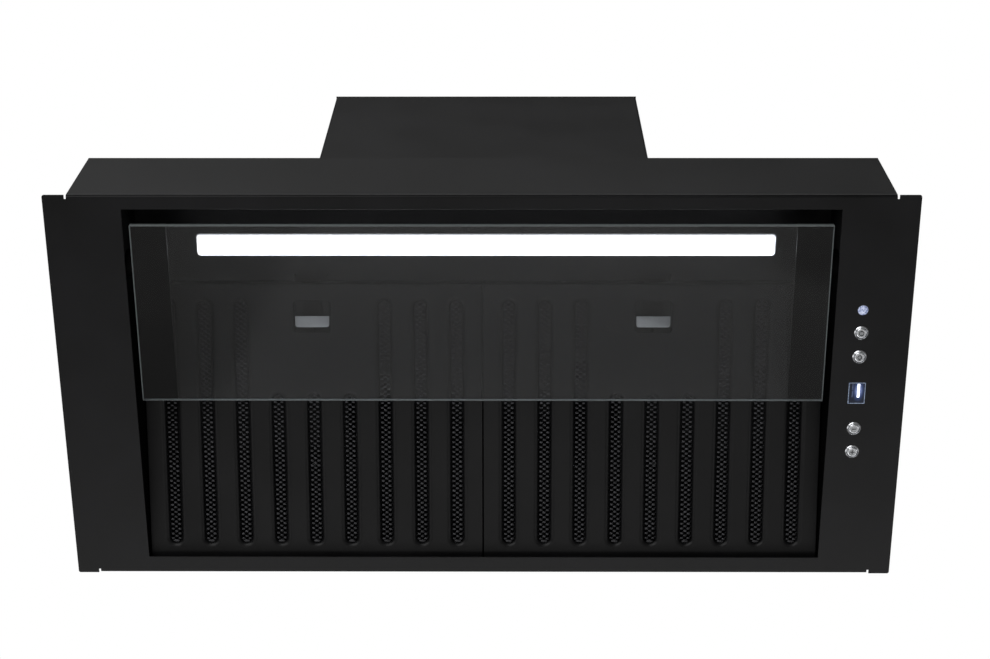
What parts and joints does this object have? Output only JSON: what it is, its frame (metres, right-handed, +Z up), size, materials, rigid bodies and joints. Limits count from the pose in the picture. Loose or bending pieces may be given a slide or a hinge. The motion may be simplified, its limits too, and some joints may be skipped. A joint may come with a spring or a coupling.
{
  "type": "under cabinet range hood",
  "caption": "Built-in under-cabinet range hood with a flush glass visor, lit strip, drop-out grease filters, push-button column and a motor box with a duct collar.",
  "frame": {"origin": "middle of the bottom plate's outline, level with the button faces, which are the lowest point", "axes": "+X to the right seen from the cook's side, +Y towards the wall, +Z up"},
  "size_m": [0.598, 0.295, 0.336],
  "materials": {
    "black_powder_coat": "fine matt texture powder coat",
    "black_filter_sheet": "satin powder coat on pressed aluminium",
    "grease_mesh": "expanded mesh, coated black",
    "brushed_zinc": "brushed",
    "spring_steel": "bright",
    "zinc_plate": "zinc plated",
    "tinted_glass": "polished, ground edges",
    "opal_diffuser": "opal, lit from behind",
    "display_lens": "clear tinted window",
    "sensor_lens": "clear tinted dome",
    "chrome_ring": "polished",
    "grey_cap": "silver lacquer",
    "black_nylon": "moulded",
    "circuit_board": "solder mask",
    "soft_rubber": "moulded"
  },
  "bodies": {
    "hood": {"bottom_frame": "black_powder_coat", "button_bezels": "chrome_ring", "cable_gland": "black_nylon", "capacitor": "zinc_plate", "case_screws": "zinc_plate", "catch_leaf_left": "spring_steel", "catch_leaf_right": "spring_steel", "control_board": "circuit_board", "control_tray": "black_nylon", "damper_pin": "spring_steel", "display_window": "display_lens", "fan_motor": "zinc_plate", "filter_rail": "black_powder_coat", "ir_sensor": "sensor_lens", "lamp_housing": "zinc_plate", "lamp_panel": "black_powder_coat", "led_board": "circuit_board", "led_diffuser": "opal_diffuser", "led_driver": "black_nylon", "motor_bearings": "spring_steel", "motor_box_back": "black_powder_coat", "motor_box_lid": "black_powder_coat", "motor_box_wrap": "black_powder_coat", "motor_bracket": "zinc_plate", "outlet_collar": "black_nylon", "rubber_mounts": "soft_rubber", "scroll_left": "black_nylon", "scroll_right": "black_nylon", "side_wall_left": "black_powder_coat", "side_wall_right": "black_powder_coat", "tact_switches": "black_nylon", "terminal_box": "black_nylon", "top_panel": "black_powder_coat", "visor_bushes": "black_nylon", "visor_pivots": "spring_steel", "well_side_left": "black_powder_coat", "well_side_right": "black_powder_coat"},
    "visor": {"visor_glass": "tinted_glass", "visor_bracket_left": "black_powder_coat", "visor_bracket_right": "black_powder_coat"},
    "fan": {"impeller": "black_nylon", "motor_shaft": "spring_steel"},
    "flap_front": {"damper_flap_front": "black_nylon"},
    "flap_rear": {"damper_flap_rear": "black_nylon"},
    "filter_left": {"filter_face_left": "black_filter_sheet", "filter_frame_left": "black_filter_sheet", "filter_mesh_left": "grease_mesh", "latch_cup_left": "black_filter_sheet", "latch_spring_left": "spring_steel"},
    "latch_left": {"latch_lever_left": "brushed_zinc"},
    "filter_right": {"filter_face_right": "black_filter_sheet", "filter_frame_right": "black_filter_sheet", "filter_mesh_right": "grease_mesh", "latch_cup_right": "black_filter_sheet", "latch_spring_right": "spring_steel"},
    "latch_right": {"latch_lever_right": "brushed_zinc"},
    "button_power": {"button_power": "grey_cap"},
    "button_light": {"button_light": "grey_cap"},
    "button_minus": {"button_minus": "grey_cap"},
    "button_plus": {"button_plus": "grey_cap"}
  },
  "joints": [
    {"name": "visor_hinge", "type": "hinge", "parent": "hood", "child": "visor", "pos_m": [0, -0.0939, 0.013], "axis": [-1, 0, 0], "range_deg": [0, 75]},
    {"name": "filter_left_hinge", "type": "hinge", "parent": "hood", "child": "filter_left", "pos_m": [0, 0.1429, 0.0095], "axis": [1, 0, 0], "range_deg": [0, 10], "deforming": ["catch_leaf_left"]},
    {"name": "latch_left_slide", "type": "slide", "parent": "filter_left", "child": "latch_left", "axis": [0, 0.9812, -0.193], "range_m": [0, 0.005], "stiffness_N_per_m": 400, "deforming": ["latch_spring_left"]},
    {"name": "filter_right_hinge", "type": "hinge", "parent": "hood", "child": "filter_right", "pos_m": [0, 0.1429, 0.0095], "axis": [1, 0, 0], "range_deg": [0, 10], "deforming": ["catch_leaf_right"]},
    {"name": "latch_right_slide", "type": "slide", "parent": "filter_right", "child": "latch_right", "axis": [0, 0.9812, -0.193], "range_m": [0, 0.005], "stiffness_N_per_m": 400, "deforming": ["latch_spring_right"]},
    {"name": "button_power_press", "type": "slide", "parent": "hood", "child": "button_power", "axis": [0, 0, 1], "range_m": [0, 0.001], "stiffness_N_per_m": 1500},
    {"name": "button_light_press", "type": "slide", "parent": "hood", "child": "button_light", "axis": [0, 0, 1], "range_m": [0, 0.001], "stiffness_N_per_m": 1500},
    {"name": "button_minus_press", "type": "slide", "parent": "hood", "child": "button_minus", "axis": [0, 0, 1], "range_m": [0, 0.001], "stiffness_N_per_m": 1500},
    {"name": "button_plus_press", "type": "slide", "parent": "hood", "child": "button_plus", "axis": [0, 0, 1], "range_m": [0, 0.001], "stiffness_N_per_m": 1500},
    {"name": "fan_spin", "type": "hinge", "parent": "hood", "child": "fan", "pos_m": [0, 0.047, 0.17], "axis": [1, 0, 0], "continuous": true},
    {"name": "flap_front_hinge", "type": "hinge", "parent": "hood", "child": "flap_front", "pos_m": [0, -0.0055, 0.305], "axis": [-1, 0, 0], "range_deg": [0, 75]},
    {"name": "flap_rear_hinge", "type": "hinge", "parent": "hood", "child": "flap_rear", "pos_m": [0, -0.0055, 0.305], "axis": [1, 0, 0], "range_deg": [0, 75]}
  ]
}
